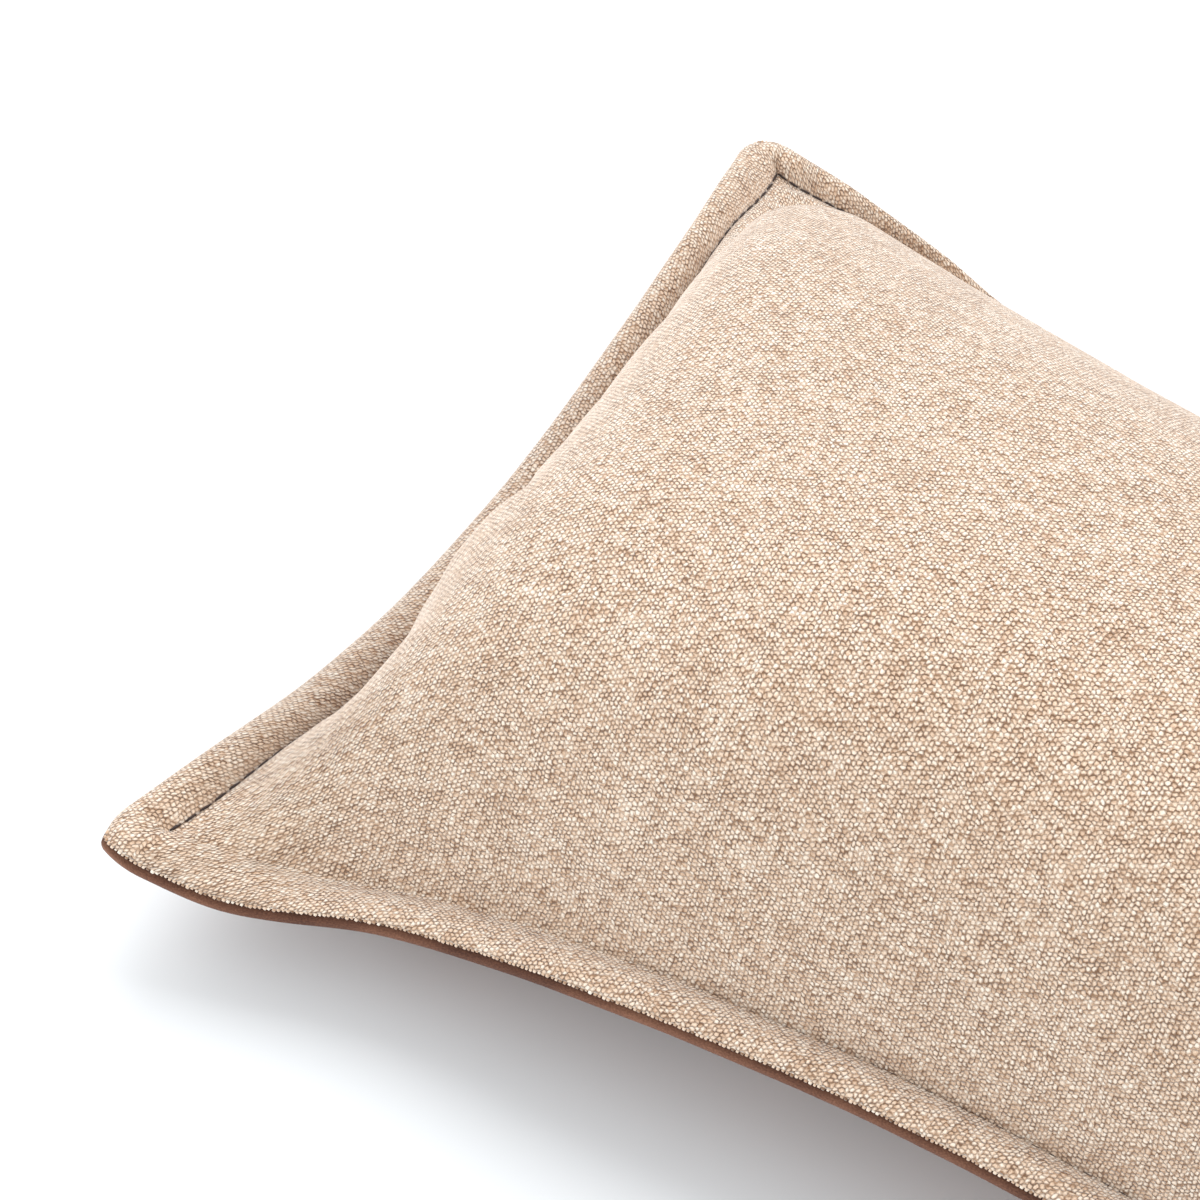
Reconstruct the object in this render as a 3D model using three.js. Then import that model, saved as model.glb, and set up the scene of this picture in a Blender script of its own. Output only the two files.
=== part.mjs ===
import * as THREE from 'three';

// A filled, flanged lumbar pillow lying on its back. Millimetres, +Z up, +X along its length.
// The origin is on the surface that it rests on, under its middle.

// Finished size over the flange, tip to tip
const pillowLength = 610;
const pillowWidth = 406;
const flangeWidth = 16;
const tipRadius = 15;

// Height of the flange's seam at the four tips, and its parts above and below that seam
const tipHeight = 48;
const trenchTop = -3.2;
const trenchMiddle = -4.7;
const trenchUnder = -7.2;

// How far the middle of a side is drawn in, and how quickly that fades towards the tips
const drawShort = { depth: 23.5, fade: 2.4 };
const drawLong = { depth: 46, fade: 2.15 };

// The filled middle: crown in front, belly behind, and the flatter corners of both, as ovals
const crown = { height: 112.5, endPower: 12, sidePower: 2.14, shoulder: 0.87, sag: 0.12 };
const belly = { height: 88, endPower: 7, sidePower: 2.4, shoulder: 0.7, sag: 0.05 };
const nearEar = { drop: 0.8, along: 45, across: 95 };
const farEar = { drop: 0.72, along: 50, across: 50 };

// Cloth of the back panel, the gap between the two panels, and the floor's rounding into the belly
const backCloth = 2.5;
const leastSteepness = 0.45;
const panelGap = 0.3;
const floorRounding = 9;

// Mesh steps, closer together towards the seams
const cellsAlong = 40;
const cellsAcross = 28;
const seamCrowding = 0.5;

// Each side from one tip (place 0) to the other (place 1): rise of the seam over the tips, how
// far the edge stands out past its even curve, and how much wider the flange is sewn there
const nearSide = [
  { place: 0, rise: 0, out: 0, inset: 5 },
  { place: 0.08, rise: -9, out: 1.5, inset: 10 },
  { place: 0.16, rise: -4, out: -3.5, inset: 5 },
  { place: 0.28, rise: 7, out: 1.5, inset: 2.5 },
  { place: 0.5, rise: 10, out: 0, inset: 0 },
  { place: 0.73, rise: 8, out: 0, inset: 0 },
  { place: 0.86, rise: 0, out: 0, inset: 0 },
  { place: 0.93, rise: -3, out: 0, inset: 0 },
  { place: 1, rise: 0, out: 0, inset: 0 },
];
const farSide = [
  { place: 0, rise: 0, out: 0, inset: -2 },
  { place: 0.08, rise: 3.5, out: 0, inset: -4 },
  { place: 0.16, rise: 5, out: -4.5, inset: -5.5 },
  { place: 0.28, rise: 14.5, out: -11, inset: -3 },
  { place: 0.5, rise: 17, out: -14, inset: 1.5 },
  { place: 0.74, rise: 14, out: -10, inset: 0 },
  { place: 0.87, rise: 5, out: -2, inset: 0 },
  { place: 1, rise: 0, out: 0, inset: 0 },
];
const leftSide = [
  { place: 0, rise: 0, out: 0, inset: 6 },
  { place: 0.12, rise: 3.5, out: -2.5, inset: 3 },
  { place: 0.25, rise: -3, out: -2, inset: 3 },
  { place: 0.5, rise: -10.5, out: 3, inset: 4.5 },
  { place: 0.75, rise: 5, out: 1, inset: -1.5 },
  { place: 0.88, rise: 8.5, out: -1, inset: -1.5 },
  { place: 1, rise: 0, out: 0, inset: 3 },
];
const rightSide = [
  { place: 0, rise: 0, out: 0, inset: 0 },
  { place: 0.12, rise: 3, out: -2.5, inset: 0 },
  { place: 0.25, rise: 1, out: -2, inset: 0 },
  { place: 0.5, rise: -5, out: 1, inset: 0 },
  { place: 0.75, rise: 4, out: 1, inset: 0 },
  { place: 0.88, rise: 6, out: -1, inset: 0 },
  { place: 1, rise: 0, out: 0, inset: 0 },
];

// Section of the flange from the stitching (across 0) to its outer edge (across 1)
const flangeFront = [
  { across: 0.16, up: 0.2 },
  { across: 0.38, up: 3 },
  { across: 0.62, up: 3.7 },
  { across: 0.84, up: 2.6 },
];
const flangeSeam = { across: 0.96, up: 0 };
const flangeBack = [
  { across: 1, up: -3.2 },
  { across: 0.96, up: -6.4 },
  { across: 0.76, up: -8.6 },
  { across: 0.36, up: -8.6 },
];

const frontCloth = new THREE.MeshStandardMaterial({ color: 0xcdb498, roughness: 0.95, metalness: 0 });
const backSuede = new THREE.MeshStandardMaterial({ color: 0x78503e, roughness: 0.9, metalness: 0 });

const halfLength = pillowLength / 2;
const halfWidth = pillowWidth / 2;

function readColumn(rows, column) {
  const places = rows.map((row) => row.place);
  const values = rows.map((row) => row[column]);
  const curve = new THREE.CubicInterpolant(places, values, 1, new Float64Array(1));
  return (place) => curve.evaluate(place)[0];
}

function makeSide(rows, draw) {
  const out = readColumn(rows, 'out');
  const rise = readColumn(rows, 'rise');
  const inset = readColumn(rows, 'inset');
  const edgeIn = (place) => draw.depth * (1 - Math.abs(2 * place - 1) ** draw.fade) - out(place);
  const seamIn = (place) => edgeIn(place) + inset(place);
  return { rise, edgeIn, seamIn };
}

const near = makeSide(nearSide, drawLong);
const far = makeSide(farSide, drawLong);
const left = makeSide(leftSide, drawShort);
const right = makeSide(rightSide, drawShort);

// A point of the filled middle has u along the length and v across it, each from -1 to 1
function seamHeight(u, v) {
  const along = (u + 1) / 2;
  const across = (v + 1) / 2;
  const fromEnds = THREE.MathUtils.lerp(left.rise(across), right.rise(across), along);
  const fromSides = THREE.MathUtils.lerp(near.rise(along), far.rise(along), across);
  return tipHeight + fromEnds + fromSides;
}

function planPoint(u, v) {
  const along = (u + 1) / 2;
  const across = (v + 1) / 2;
  const endX = halfLength - flangeWidth;
  const sideY = halfWidth - flangeWidth;
  const x = THREE.MathUtils.lerp(left.seamIn(across) - endX, endX - right.seamIn(across), along);
  const y = THREE.MathUtils.lerp(near.seamIn(along) - sideY, sideY - far.seamIn(along), across);
  return new THREE.Vector2(x, y);
}

// Outer edge of the flange outside the seam point u, v, with the tips rounded
function edgePoint(u, v) {
  const point = new THREE.Vector2(u * halfLength, v * halfWidth);
  const fromTip = halfLength - Math.abs(point.x) + halfWidth - Math.abs(point.y);
  if (fromTip < tipRadius) {
    const turn = (Math.PI / 4) * (fromTip / tipRadius);
    const angle = Math.PI / 4 + (Math.abs(u) === 1 ? -turn : turn);
    point.x = Math.sign(u) * (halfLength - tipRadius * (1 - Math.cos(angle)));
    point.y = Math.sign(v) * (halfWidth - tipRadius * (1 - Math.sin(angle)));
  }
  const along = (u + 1) / 2;
  const across = (v + 1) / 2;
  if (u === -1) point.x += left.edgeIn(across);
  if (u === 1) point.x -= right.edgeIn(across);
  if (v === -1) point.y += near.edgeIn(along);
  if (v === 1) point.y -= far.edgeIn(along);
  return point;
}

function flatten(ear, fromEnd, fromSide) {
  return 1 - ear.drop * Math.exp(-((fromEnd / ear.along) ** 2) - (fromSide / ear.across) ** 2);
}

function filling(shape, u, v) {
  const leaned = (v + shape.sag) / (1 + shape.sag * v);
  const ends = 1 - Math.abs(u) ** shape.endPower;
  const sides = 1 - Math.abs(leaned) ** shape.sidePower;
  const { x, y } = planPoint(u, v);
  const fromEnd = halfLength - flangeWidth - Math.abs(x);
  const fromNear = halfWidth - flangeWidth + y;
  const fromFar = halfWidth - flangeWidth - y;
  const flattened = flatten(nearEar, fromEnd, fromNear) * flatten(farEar, fromEnd, fromFar);
  return shape.height * flattened * Math.max(ends * sides, 0) ** shape.shoulder;
}

// Lifts everything below the floor on to it, with a rounded bend
function restOnFloor(z) {
  if (z >= floorRounding) return z;
  if (z <= -floorRounding) return 0;
  return (z + floorRounding) ** 2 / (4 * floorRounding);
}

const frontHeight = (u, v) => seamHeight(u, v) + trenchTop + filling(crown, u, v);
const underHeight = (u, v) => restOnFloor(seamHeight(u, v) + trenchUnder - filling(belly, u, v));

function onSeam(u, v) {
  return Math.abs(u) === 1 || Math.abs(v) === 1;
}

// Height between the two panels: the back cloth's thickness above the underside
function middleHeight(u, v) {
  if (onSeam(u, v)) return seamHeight(u, v) + trenchMiddle;
  const step = 0.004;
  const place = (a, b) => new THREE.Vector3(...planPoint(a, b), underHeight(a, b));
  const alongX = place(u + step, v).sub(place(u - step, v));
  const alongY = place(u, v + step).sub(place(u, v - step));
  const upright = alongX.cross(alongY).normalize().z;
  return underHeight(u, v) + backCloth / Math.max(upright, leastSteepness);
}

function steps(count) {
  return Array.from({ length: count + 1 }, (_, i) => {
    const even = (2 * i) / count - 1;
    return (1 - seamCrowding) * even - seamCrowding * Math.cos((Math.PI * i) / count);
  });
}

const stepsAlong = steps(cellsAlong);
const stepsAcross = steps(cellsAcross);

// Grid places once round the seam, counterclockwise seen from above
function seamLoop() {
  const loop = [];
  for (let i = 0; i < cellsAlong; i += 1) loop.push([i, 0]);
  for (let j = 0; j < cellsAcross; j += 1) loop.push([cellsAlong, j]);
  for (let i = cellsAlong; i > 0; i -= 1) loop.push([i, cellsAcross]);
  for (let j = cellsAcross; j > 0; j -= 1) loop.push([0, j]);
  return loop;
}

// A closed shell of two height fields over the filled middle, joined round the flange by the
// rows of flangeRows, from the upper field's edge outwards and back to the lower field's
function makeShell(upperHeight, lowerHeight, flangeRows) {
  const vertices = [];
  const triangles = [];
  const loop = seamLoop();

  const addField = (height, facesUp) => {
    const first = vertices.length;
    for (const v of stepsAcross) {
      for (const u of stepsAlong) {
        const { x, y } = planPoint(u, v);
        vertices.push(new THREE.Vector3(x, y, height(u, v)));
      }
    }
    const at = (i, j) => first + j * (cellsAlong + 1) + i;
    for (let j = 0; j < cellsAcross; j += 1) {
      for (let i = 0; i < cellsAlong; i += 1) {
        const [a, b, c, d] = [at(i, j), at(i + 1, j), at(i + 1, j + 1), at(i, j + 1)];
        if (facesUp) triangles.push([a, b, c], [a, c, d]);
        else triangles.push([a, c, b], [a, d, c]);
      }
    }
    return loop.map(([i, j]) => at(i, j));
  };

  const addRing = ({ across, up }) => loop.map(([i, j]) => {
    const u = stepsAlong[i];
    const v = stepsAcross[j];
    const { x, y } = planPoint(u, v).lerp(edgePoint(u, v), across);
    vertices.push(new THREE.Vector3(x, y, seamHeight(u, v) + up));
    return vertices.length - 1;
  });

  // Quads are split the same way on both panels, so that their facing facets stay parallel
  const rings = [addField(upperHeight, true), ...flangeRows.map(addRing), addField(lowerHeight, false)];
  const across = [0, ...flangeRows.map((row) => row.across), 0];
  for (let r = 0; r < rings.length - 1; r += 1) {
    const [from, to] = [rings[r], rings[r + 1]];
    for (let k = 0; k < loop.length; k += 1) {
      const next = (k + 1) % loop.length;
      if (across[r + 1] > across[r]) {
        triangles.push([from[k], to[k], to[next]], [from[k], to[next], from[next]]);
      } else {
        triangles.push([from[k], to[k], from[next]], [to[k], to[next], from[next]]);
      }
    }
  }

  const geometry = new THREE.BufferGeometry().setFromPoints(vertices);
  geometry.setIndex(triangles.flat());
  geometry.computeVertexNormals();
  return geometry;
}

function raised(row, by) {
  return { across: row.across, up: row.up + by };
}

function makeFrontPanel() {
  const upper = frontHeight;
  const lower = (u, v) => middleHeight(u, v) + panelGap / 2;
  const rows = [...flangeFront, raised(flangeSeam, panelGap / 2)];
  const mesh = new THREE.Mesh(makeShell(upper, lower, rows), frontCloth);
  mesh.name = 'front_panel';
  return mesh;
}

function makeBackPanel() {
  const upper = (u, v) => middleHeight(u, v) - panelGap / 2;
  const rows = [raised(flangeSeam, -panelGap / 2), ...flangeBack];
  const mesh = new THREE.Mesh(makeShell(upper, underHeight, rows), backSuede);
  mesh.name = 'back_panel';
  return mesh;
}

const pillow = new THREE.Group();
pillow.add(makeFrontPanel(), makeBackPanel());

export default pillow;
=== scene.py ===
import math
import random

import bmesh
import bpy
import numpy as np
from mathutils import Matrix, Vector, noise


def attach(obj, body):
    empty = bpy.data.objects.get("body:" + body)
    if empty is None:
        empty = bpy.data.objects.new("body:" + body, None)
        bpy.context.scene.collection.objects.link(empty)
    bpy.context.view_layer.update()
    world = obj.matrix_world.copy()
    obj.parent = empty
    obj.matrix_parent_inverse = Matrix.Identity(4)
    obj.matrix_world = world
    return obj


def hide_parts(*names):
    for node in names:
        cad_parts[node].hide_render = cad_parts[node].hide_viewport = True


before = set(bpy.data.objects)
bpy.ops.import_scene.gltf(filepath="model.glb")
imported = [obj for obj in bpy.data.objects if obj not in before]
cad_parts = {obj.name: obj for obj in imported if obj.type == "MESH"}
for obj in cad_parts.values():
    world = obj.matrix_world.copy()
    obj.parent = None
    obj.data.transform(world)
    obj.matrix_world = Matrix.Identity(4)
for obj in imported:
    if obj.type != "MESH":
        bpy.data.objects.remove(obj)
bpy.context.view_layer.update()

random.seed(11)
mm = 0.001

# Camera at the photograph's angle, in metres and degrees
camera = {
    "azimuth": 33.42,
    "elevation": 48.42,
    "distance": 1.4,
    "target": (-0.2223, -0.0252, 0.048),
    "lensForOneMetre": 90.3,   # millimetres of focal length for each metre of distance
}

# The pillow's own sizes, in metres: the solids' own, but for the rounder left tips
pillow = {
    "length": 0.610,
    "width": 0.406,
    "flange": 0.016,
    "tipRadius": 0.015,
    "leftTipRadius": 0.022,
    "tipHeight": 0.048,
    "trenchMiddle": -0.0047,
    "trenchUnder": -0.0072,
    "backCloth": 0.0025,
    "leastSteepness": 0.45,
    "panelGap": 0.0003,
    "floorRounding": 0.009,
}
crown = {"height": 0.1125, "endPower": 12.0, "sidePower": 2.14, "shoulder": 0.87, "sag": 0.12}
belly = {"height": 0.088, "endPower": 7.0, "sidePower": 2.4, "shoulder": 0.70, "sag": 0.05}
nearEar = {"drop": 0.8, "along": 0.045, "across": 0.095}
farEar = {"drop": 0.72, "along": 0.050, "across": 0.050}
drawShort = {"depth": 0.0235, "fade": 2.4}
drawLong = {"depth": 0.046, "fade": 2.15}

# Each side from tip to tip, in millimetres: the seam's rise, how far the edge stands out past its
# even curve, and how much wider the flange is sewn there
nearSide = [
    {"place": 0.00, "rise": 0, "out": 0, "inset": 5},
    {"place": 0.08, "rise": -9, "out": 1.5, "inset": 10},
    {"place": 0.16, "rise": -4, "out": -3.5, "inset": 5},
    {"place": 0.28, "rise": 7, "out": 1.5, "inset": 2.5},
    {"place": 0.50, "rise": 10, "out": 0, "inset": 0},
    {"place": 0.73, "rise": 8, "out": 0, "inset": 0},
    {"place": 0.86, "rise": 0, "out": 0, "inset": 0},
    {"place": 0.93, "rise": -3, "out": 0, "inset": 0},
    {"place": 1.00, "rise": 0, "out": 0, "inset": 0},
]
farSide = [
    {"place": 0.00, "rise": 0, "out": 0, "inset": 0.3},
    {"place": 0.08, "rise": 3.5, "out": 0, "inset": -3.5},
    {"place": 0.16, "rise": 5, "out": -4.5, "inset": -5.5},
    {"place": 0.28, "rise": 14.5, "out": -11, "inset": -3},
    {"place": 0.50, "rise": 17, "out": -14, "inset": 1.5},
    {"place": 0.74, "rise": 14, "out": -10, "inset": 0},
    {"place": 0.87, "rise": 5, "out": -2, "inset": 0},
    {"place": 1.00, "rise": 0, "out": 0, "inset": 0},
]
leftSide = [
    {"place": 0.00, "rise": 0, "out": 0, "inset": 6},
    {"place": 0.12, "rise": 3.5, "out": -2.5, "inset": 3},
    {"place": 0.25, "rise": -3, "out": -2, "inset": 3},
    {"place": 0.50, "rise": -10.5, "out": 3, "inset": 4.5},
    {"place": 0.75, "rise": 5, "out": 1, "inset": -1.5},
    {"place": 0.88, "rise": 8.5, "out": -1, "inset": -1.5},
    {"place": 1.00, "rise": 0, "out": 0, "inset": 4.5},
]
rightSide = [
    {"place": 0.00, "rise": 0, "out": 0, "inset": 0},
    {"place": 0.12, "rise": 3, "out": -2.5, "inset": 0},
    {"place": 0.25, "rise": 1, "out": -2, "inset": 0},
    {"place": 0.50, "rise": -5, "out": 1, "inset": 0},
    {"place": 0.75, "rise": 4, "out": 1, "inset": 0},
    {"place": 0.88, "rise": 6, "out": -1, "inset": 0},
    {"place": 1.00, "rise": 0, "out": 0, "inset": 0},
]

# How deep the stitching is pulled in below the seam's height, in millimetres along each side
nearTrench = [
    {"place": 0.00, "depth": 0.4},
    {"place": 0.20, "depth": 0.5},
    {"place": 0.32, "depth": 0.8},
    {"place": 1.00, "depth": 1.0},
]
leftTrench = [
    {"place": 0.00, "depth": 2.2},
    {"place": 0.10, "depth": 3.0},
    {"place": 0.50, "depth": 3.7},
    {"place": 0.90, "depth": 2.6},
    {"place": 1.00, "depth": 2.4},
]
farTrench = [
    {"place": 0.00, "depth": 2.4},
    {"place": 0.10, "depth": 2.6},
    {"place": 1.00, "depth": 2.2},
]
rightTrench = [
    {"place": 0.00, "depth": 1.8},
    {"place": 0.50, "depth": 3.0},
    {"place": 1.00, "depth": 2.2},
]

# How the four sides' trenches blend, and how the flange follows a deep or a shallow one
trenchShape = {
    "blend": 0.004,         # metres from a side over which the others come to count
    "reach": 0.14,          # how much of the flange a trench pulls down, as a share
    "reachPerMetre": 90,    # and how much more for each metre of its depth
    "fullDepth": 2.5,       # millimetres of depth that give the flange its whole height
    "flattest": 0.5,        # its share of that height where there is no trench
}

# How far the far flange droops behind the crown, in millimetres along that side
farDroop = [
    {"place": 0.00, "drop": 0},
    {"place": 0.10, "drop": -1},
    {"place": 0.165, "drop": -2.8},
    {"place": 0.21, "drop": 2.5},
    {"place": 0.26, "drop": 5},
    {"place": 0.50, "drop": 5.5},
    {"place": 0.76, "drop": 4.5},
    {"place": 0.90, "drop": 1},
    {"place": 1.00, "drop": 0},
]
droopReach = {"start": 0.10, "fade": 0.03}   # metres across the pillow

# Flange sections from the stitching (across 0) to the outer edge (across 1), in millimetres
wovenFlange = [
    {"place": 0.00, "across": 0.00, "up": -3.2},
    {"place": 0.14, "across": 0.10, "up": -0.9},
    {"place": 0.26, "across": 0.22, "up": 1.4},
    {"place": 0.42, "across": 0.40, "up": 3.2},
    {"place": 0.58, "across": 0.60, "up": 3.7},
    {"place": 0.76, "across": 0.80, "up": 2.9},
    {"place": 0.90, "across": 0.94, "up": 1.0},
    {"place": 0.96, "across": 0.965, "up": 0.1},
    {"place": 1.00, "across": 0.935, "up": -0.5},
]
suedeFlange = [
    {"place": 0.00, "across": 0.00, "up": -7.2},
    {"place": 0.20, "across": 0.22, "up": -8.3},
    {"place": 0.40, "across": 0.50, "up": -8.8},
    {"place": 0.62, "across": 0.82, "up": -8.2},
    {"place": 0.78, "across": 0.98, "up": -5.8},
    {"place": 0.88, "across": 1.00, "up": -3.2},
    {"place": 0.96, "across": 0.985, "up": -1.2},
    {"place": 1.00, "across": 0.945, "up": -0.5},
]


# A smooth curve through one column of a table, read at any place
def columnCurve(rows, column, unit=1.0):
    places = np.array([row["place"] for row in rows])
    values = np.array([row[column] for row in rows]) * unit
    steepness = np.diff(values) / np.diff(places)
    slopes = np.concatenate(([0.0], (steepness[1:] + steepness[:-1]) / 2, [0.0]))

    def read(place):
        k = np.clip(np.searchsorted(places, place, side="right") - 1, 0, len(places) - 2)
        span = places[k + 1] - places[k]
        t = (place - places[k]) / span
        fromStart = (1 + 2 * t) * (1 - t) ** 2 * values[k] + t * (1 - t) ** 2 * span * slopes[k]
        fromEnd = t * t * (3 - 2 * t) * values[k + 1] - t * t * (1 - t) * span * slopes[k + 1]
        return fromStart + fromEnd

    return read


class Side:
    def __init__(self, rows, draw):
        self.rise = columnCurve(rows, "rise", mm)
        self.out = columnCurve(rows, "out", mm)
        self.inset = columnCurve(rows, "inset", mm)
        self.draw = draw

    def edgeIn(self, place):
        return self.draw["depth"] * (1 - np.abs(2 * place - 1) ** self.draw["fade"]) - self.out(place)

    def seamIn(self, place):
        return self.edgeIn(place) + self.inset(place)


near, far = Side(nearSide, drawLong), Side(farSide, drawLong)
left, right = Side(leftSide, drawShort), Side(rightSide, drawShort)
trenches = [columnCurve(rows, "depth", mm) for rows in (nearTrench, farTrench, leftTrench, rightTrench)]
halfLength, halfWidth = pillow["length"] / 2, pillow["width"] / 2
seamX, seamY = halfLength - pillow["flange"], halfWidth - pillow["flange"]


def between(start, end, t):
    return start + (end - start) * t


# From 0 at the start to 1 where the fade ends
def ramp(value, start, fade):
    return np.clip((value - start) / fade, 0, 1)


# u runs along the pillow and v across it, each from -1 to 1 between the rows of stitching
def seamHeight(u, v):
    along, across = (u + 1) / 2, (v + 1) / 2
    fromEnds = between(left.rise(across), right.rise(across), along)
    fromSides = between(near.rise(along), far.rise(along), across)
    return pillow["tipHeight"] + fromEnds + fromSides


# Depth of the stitched trench, each side counting more the closer it is
def trenchDepth(u, v):
    along, across = (u + 1) / 2, (v + 1) / 2
    places = (along, along, across, across)
    apart = ((1 + v) * seamY, (1 - v) * seamY, (1 + u) * seamX, (1 - u) * seamX)
    weights = [1 / (gap + trenchShape["blend"]) ** 2 for gap in apart]
    total = sum(weight * trench(place) for weight, trench, place in zip(weights, trenches, places))
    return total / sum(weights)


def planPoint(u, v):
    along, across = (u + 1) / 2, (v + 1) / 2
    x = between(left.seamIn(across) - seamX, seamX - right.seamIn(across), along)
    y = between(near.seamIn(along) - seamY, seamY - far.seamIn(along), across)
    return x, y


def edgePoint(u, v):
    x, y = u * halfLength, v * halfWidth
    radius = np.where(u < 0, pillow["leftTipRadius"], pillow["tipRadius"])
    fromTip = halfLength - np.abs(x) + halfWidth - np.abs(y)
    turn = math.pi / 4 * np.clip(fromTip / radius, 0, 1)
    onEnd = np.abs(u) > np.abs(v)
    angle = math.pi / 4 + np.where(onEnd, -turn, turn)
    rounded = fromTip < radius
    x = np.where(rounded, np.sign(u) * (halfLength - radius * (1 - np.cos(angle))), x)
    y = np.where(rounded, np.sign(v) * (halfWidth - radius * (1 - np.sin(angle))), y)
    along, across = (u + 1) / 2, (v + 1) / 2
    x = x + np.where(u <= -1, left.edgeIn(across), 0) - np.where(u >= 1, right.edgeIn(across), 0)
    y = y + np.where(v <= -1, near.edgeIn(along), 0) - np.where(v >= 1, far.edgeIn(along), 0)
    return x, y


def flatten(ear, fromEnd, fromSide):
    return 1 - ear["drop"] * np.exp(-(fromEnd / ear["along"]) ** 2 - (fromSide / ear["across"]) ** 2)


def filling(shape, u, v):
    leaned = (v + shape["sag"]) / (1 + shape["sag"] * v)
    ends = 1 - np.abs(u) ** shape["endPower"]
    sides = 1 - np.abs(leaned) ** shape["sidePower"]
    x, y = planPoint(u, v)
    fromEnd = seamX - np.abs(x)
    flattened = flatten(nearEar, fromEnd, seamY + y) * flatten(farEar, fromEnd, seamY - y)
    return shape["height"] * flattened * np.clip(ends * sides, 0, None) ** shape["shoulder"]


def restOnFloor(z):
    bend = pillow["floorRounding"]
    lifted = np.clip(z + bend, 0, None) ** 2 / (4 * bend)
    return np.where(z >= bend, z, lifted)


def underHeight(u, v):
    return restOnFloor(seamHeight(u, v) + pillow["trenchUnder"] - filling(belly, u, v))


def middleHeight(u, v):
    step = 0.004
    inU, inV = np.clip(u, -1 + step, 1 - step), np.clip(v, -1 + step, 1 - step)

    def place(a, b):
        return np.stack([*planPoint(a, b), underHeight(a, b)], -1)

    alongX = place(inU + step, inV) - place(inU - step, inV)
    alongY = place(inU, inV + step) - place(inU, inV - step)
    normal = np.cross(alongX, alongY)
    upright = normal[..., 2] / np.linalg.norm(normal, axis=-1)
    inside = underHeight(u, v) + pillow["backCloth"] / np.clip(upright, pillow["leastSteepness"], None)
    onSeam = (np.abs(u) >= 1) | (np.abs(v) >= 1)
    return np.where(onSeam, seamHeight(u, v) + pillow["trenchMiddle"], inside)


# Lines of a cloth's grid, from one outer edge to the other: beyond 1 they lie in the flange
def clothLines(filledCells, flangeCells, crowding=0.6):
    t = np.arange(filledCells + 1) / filledCells
    filled = (1 - crowding) * t + crowding * np.sin(math.pi / 2 * t)
    flange = 1 + np.arange(1, flangeCells + 1) / flangeCells
    half = np.concatenate([filled, flange])
    return np.concatenate([-half[:0:-1], half])


def clothPoints(linesAlong, linesAcross, filledHeight, flangeRows):
    a, b = np.meshgrid(linesAlong, linesAcross)
    beyond = np.clip(np.maximum(np.abs(a), np.abs(b)) - 1, 0, None)
    across = columnCurve(flangeRows, "across")(beyond)
    inA, inB = np.clip(np.abs(a) - 1, 0, None), np.clip(np.abs(b) - 1, 0, None)
    rounded = np.clip((inA ** 4 + inB ** 4) ** 0.25, 0, 1)
    up = columnCurve(flangeRows, "up", mm)(beyond if flangeRows is suedeFlange else rounded)
    u, v = seamPlace(a, across, seamX), seamPlace(b, across, seamY)
    outerU = np.where(np.abs(a) >= np.abs(b), np.sign(a), u)
    outerV = np.where(np.abs(b) >= np.abs(a), np.sign(b), v)
    u, v = np.where(beyond > 0, outerU, a), np.where(beyond > 0, outerV, b)
    seam, edge = planPoint(u, v), edgePoint(u, v)
    x, y = between(seam[0], edge[0], across), between(seam[1], edge[1], across)
    depth = trenchDepth(u, v)
    reach = trenchShape["reach"] + depth * trenchShape["reachPerMetre"]
    pulled = (depth + flangeRows[0]["up"] * mm) * np.clip(1 - beyond / reach, 0, 1)
    height = between(trenchShape["flattest"], 1, ramp(depth, 0, trenchShape["fullDepth"] * mm))
    flatter = np.where(up > 0, height, 1)
    up = up * flatter - pulled if flangeRows is wovenFlange else up
    z = np.where(beyond > 0, seamHeight(u, v) + up, filledHeight(u, v))
    return np.stack([x, y, z], -1)


# In the flange the yarns run straight on, while the seam's places fan out to the tips
def seamPlace(line, across, seamHalf):
    inFlange = np.clip(np.abs(line) - 1, 0, None)
    reach = 1 + inFlange * pillow["flange"] / seamHalf
    straight = np.where(inFlange > 0, reach, np.abs(line))
    return np.sign(line) * np.clip(straight / (1 + across * pillow["flange"] / seamHalf), 0, 1)


# Finer steps of a grid of vectors, halfway between its own, on smooth curves through them
def finerGrid(values):
    for axis in (0, 1):
        v = np.moveaxis(values, axis, 0)
        ends = np.concatenate([v[:1], v, v[-1:]])
        middles = (9 * (v[:-1] + v[1:]) - ends[:-3] - ends[3:]) / 16
        finer = np.empty((2 * len(v) - 1, *v.shape[1:]))
        finer[::2], finer[1::2] = v, middles
        values = np.moveaxis(finer, 0, axis)
    return values


def gridNormals(points):
    normals = np.cross(np.gradient(points, axis=1), np.gradient(points, axis=0))
    return normals / np.clip(np.linalg.norm(normals, axis=-1, keepdims=True), 1e-9, None)


def layGrid(shape, points):
    rows, columns = points.shape[:2]
    made = bmesh.ops.create_grid(shape, x_segments=columns - 1, y_segments=rows - 1, size=1)
    for vertex, place in zip(made["verts"], points.reshape(-1, 3)):
        vertex.co = place
    return made["verts"]


def joinRims(shape, lower):
    bmesh.ops.reverse_faces(shape, faces=list({face for vertex in lower for face in vertex.link_faces}))
    rims = [edge for edge in shape.edges if edge.is_boundary]
    bmesh.ops.bridge_loops(shape, edges=rims)


def finishPiece(shape, name, material):
    mesh = bpy.data.meshes.new(name)
    shape.to_mesh(mesh)
    shape.free()
    mesh.materials.append(material)
    mesh.polygons.foreach_set("use_smooth", [True] * len(mesh.polygons))
    piece = bpy.data.objects.new(name, mesh)
    bpy.context.scene.collection.objects.link(piece)
    return piece


def markCloth(piece, places):
    mesh = piece.data
    corners = np.empty(len(mesh.loops), dtype=np.int32)
    mesh.loops.foreach_get("vertex_index", corners)
    layer = mesh.uv_layers.new(name="cloth")
    layer.uv.foreach_set("vector", np.asarray(places, dtype=np.float32)[corners].ravel())


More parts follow.
